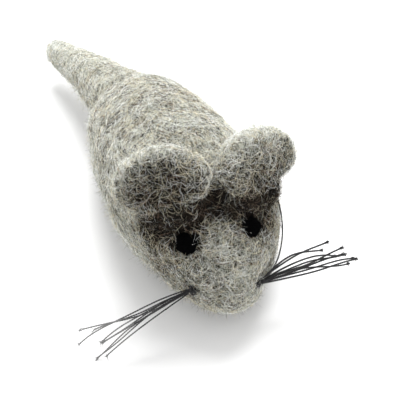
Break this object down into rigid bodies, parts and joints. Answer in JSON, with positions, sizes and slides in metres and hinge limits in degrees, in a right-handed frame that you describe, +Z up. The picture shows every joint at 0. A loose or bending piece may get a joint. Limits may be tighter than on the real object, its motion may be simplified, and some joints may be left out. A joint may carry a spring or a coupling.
{
  "type": "felt toy mouse",
  "caption": "Small felted wool toy mouse with dished ears, a tapered tail, black wool eyes and tufts of black thread whiskers.",
  "frame": {"origin": "middle of the flat belly, on the surface the mouse rests on, 45% of the way from nose to rump", "axes": "+Z up from the belly; -Y towards the nose and +Y towards the tail; +X to the mouse's own left"},
  "size_m": [0.0648, 0.1177, 0.041],
  "materials": {
    "grey_felt": "heathered light grey needle-felted wool, matt, fuzzy",
    "ear_felt": "darker mottled grey felted wool, matt, fuzzy",
    "pale_felt": "pale grey to off-white felted wool, matt, fuzzy",
    "core_wool": "loose undyed core wool",
    "black_felt": "matt black felted wool",
    "black_thread": "black twisted sewing thread, slight sheen"
  },
  "bodies": {
    "body": {"felt_body": "grey_felt", "core_wool": "core_wool", "eye_left": "black_felt", "eye_right": "black_felt", "whisker_threads_in_muzzle": "black_thread", "cheek_thread": "black_thread"},
    "tail": {"tail": "pale_felt"},
    "ear_left": {"ear_left": "ear_felt"},
    "ear_right": {"ear_right": "ear_felt"},
    "whiskers_left": {"whisker_knot_left": "black_thread", "whisker_left_1": "black_thread", "whisker_left_2": "black_thread", "whisker_left_3": "black_thread", "whisker_left_4": "black_thread", "whisker_left_5": "black_thread", "whisker_left_6": "black_thread", "whisker_left_7": "black_thread", "whisker_left_8": "black_thread", "whisker_left_9": "black_thread"},
    "whiskers_right": {"whisker_knot_right": "black_thread", "whisker_right_1": "black_thread", "whisker_right_2": "black_thread", "whisker_right_3": "black_thread", "whisker_right_4": "black_thread", "whisker_right_5": "black_thread", "whisker_right_6": "black_thread", "whisker_right_7": "black_thread", "whisker_right_8": "black_thread", "whisker_right_9": "black_thread"}
  },
  "joints": [
    {"name": "tail_swing", "type": "hinge", "parent": "body", "child": "tail", "pos_m": [-0.0001, 0.04078, 0.0155], "axis": [0, 0, 1], "range_deg": [-25, 25], "stiffness_Nm_per_rad": 0.01},
    {"name": "ear_left_fold", "type": "hinge", "parent": "body", "child": "ear_left", "pos_m": [0.00919, -0.01825, 0.02812], "axis": [0.9314, 0.2031, -0.302], "range_deg": [-3, 30], "stiffness_Nm_per_rad": 0.004},
    {"name": "ear_right_fold", "type": "hinge", "parent": "body", "child": "ear_right", "pos_m": [-0.0111, -0.01467, 0.02952], "axis": [0.8058, -0.5094, 0.302], "range_deg": [-3, 30], "stiffness_Nm_per_rad": 0.004},
    {"name": "whiskers_left_sweep", "type": "hinge", "parent": "body", "child": "whiskers_left", "pos_m": [0.00163, -0.03002, 0.0129], "axis": [0, 0, 1], "range_deg": [-20, 5], "stiffness_Nm_per_rad": 0.00002},
    {"name": "whiskers_right_sweep", "type": "hinge", "parent": "body", "child": "whiskers_right", "pos_m": [-0.01206, -0.02587, 0.0145], "axis": [0, 0, 1], "range_deg": [-20, 20], "stiffness_Nm_per_rad": 0.00002}
  ]
}
